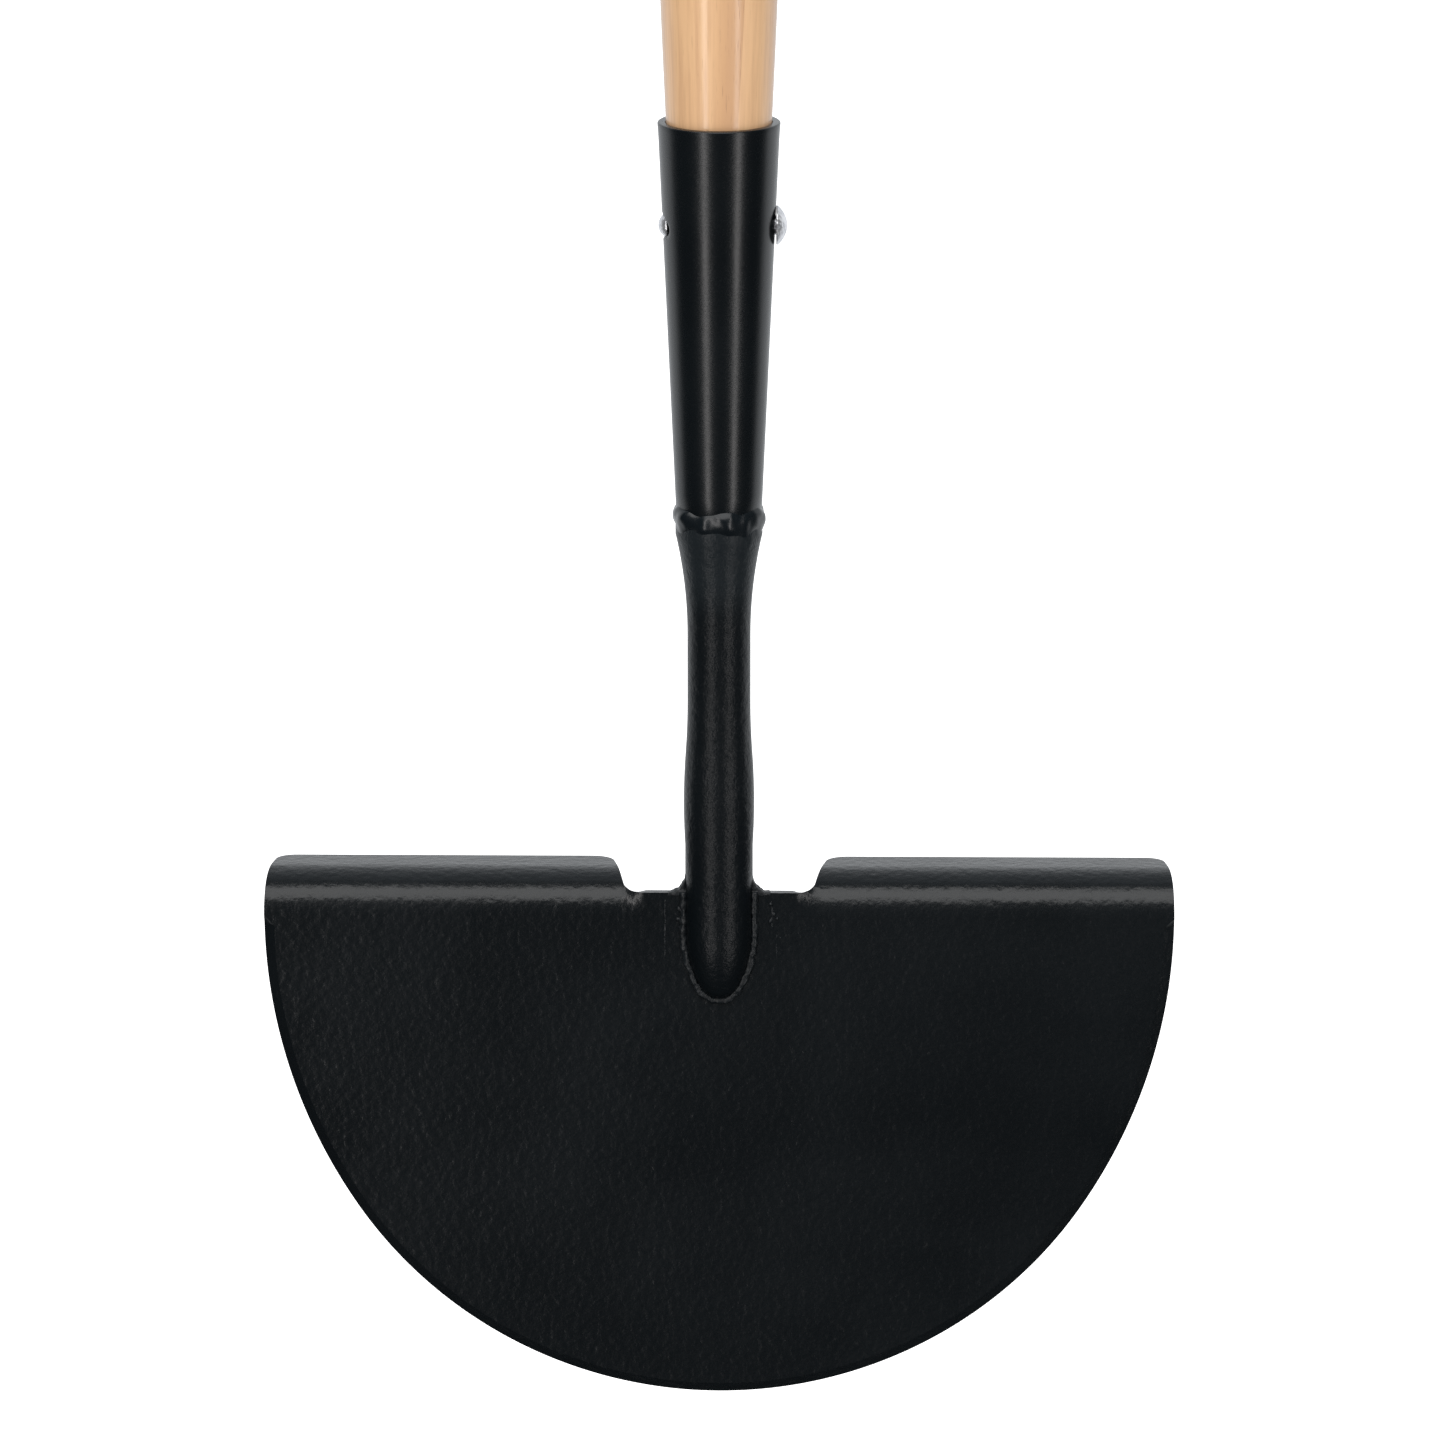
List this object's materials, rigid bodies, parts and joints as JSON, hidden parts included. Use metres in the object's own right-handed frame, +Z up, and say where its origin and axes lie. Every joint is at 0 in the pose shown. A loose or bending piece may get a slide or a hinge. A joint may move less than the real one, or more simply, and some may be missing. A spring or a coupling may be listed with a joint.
{
  "type": "half-moon lawn edger",
  "caption": "Long-handled lawn edger: a rounded steel blade with folded foot treads, welded to a tubular stem and tapered socket that hold a straight wooden handle.",
  "frame": {"origin": "lowest point of the cutting edge, on the tool's axis and in the middle of the plate's thickness", "axes": "+Z up the handle, +X to the right seen from the front, -Y out of the blade's front face, so the foot treads run back along +Y"},
  "size_m": [0.2286, 0.0376, 1.457],
  "materials": {
    "black_coat": "satin black powder coat",
    "rivet_steel": "bright plated",
    "ash": "clear lacquer"
  },
  "bodies": {
    "root": {"blade": "black_coat", "stem": "black_coat", "blade_weld": "black_coat", "socket_weld": "black_coat", "socket": "black_coat", "rivet": "rivet_steel", "handle": "ash"}
  },
  "joints": []
}
